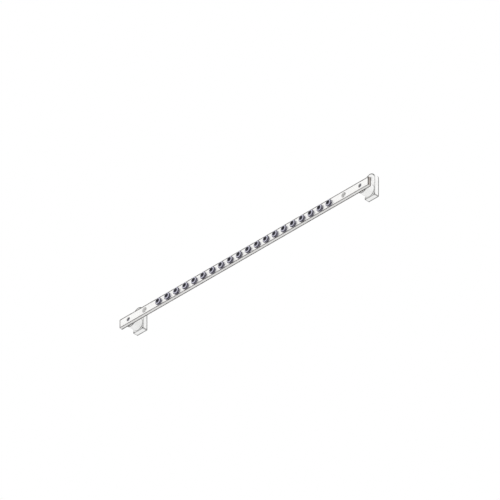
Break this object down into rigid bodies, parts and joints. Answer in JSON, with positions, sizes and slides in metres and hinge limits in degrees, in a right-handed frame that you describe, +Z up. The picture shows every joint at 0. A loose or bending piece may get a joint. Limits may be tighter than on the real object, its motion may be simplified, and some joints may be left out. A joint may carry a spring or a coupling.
{
  "type": "rack grounding busbar",
  "caption": "Flat tinned copper grounding bar with a row of terminal screws, held off the rack by a moulded insulating foot at each end.",
  "frame": {"origin": "midway between the two rack holes, in the plane of the feet's back faces, which rest on the rack's front rails", "axes": "+X along the bar to the right as seen from the front, +Y into the rack, +Z up; the terminal screws face -Y"},
  "size_m": [0.5, 0.0318, 0.04],
  "materials": {
    "tinned_copper": "satin",
    "insulator_plastic": "satin",
    "zinc_steel": "satin"
  },
  "bodies": {
    "root": {"busbar": "tinned_copper", "insulator_left": "insulator_plastic", "insulator_right": "insulator_plastic", "fixing_screw_left": "zinc_steel", "fixing_screw_right": "zinc_steel", "screw_01": "zinc_steel", "screw_02": "zinc_steel", "screw_03": "zinc_steel", "screw_04": "zinc_steel", "screw_05": "zinc_steel", "screw_06": "zinc_steel", "screw_07": "zinc_steel", "screw_08": "zinc_steel", "screw_09": "zinc_steel", "screw_10": "zinc_steel", "screw_11": "zinc_steel", "screw_12": "zinc_steel", "screw_13": "zinc_steel", "screw_14": "zinc_steel", "screw_15": "zinc_steel", "screw_16": "zinc_steel", "screw_17": "zinc_steel", "screw_18": "zinc_steel", "screw_19": "zinc_steel", "screw_20": "zinc_steel"}
  },
  "joints": []
}
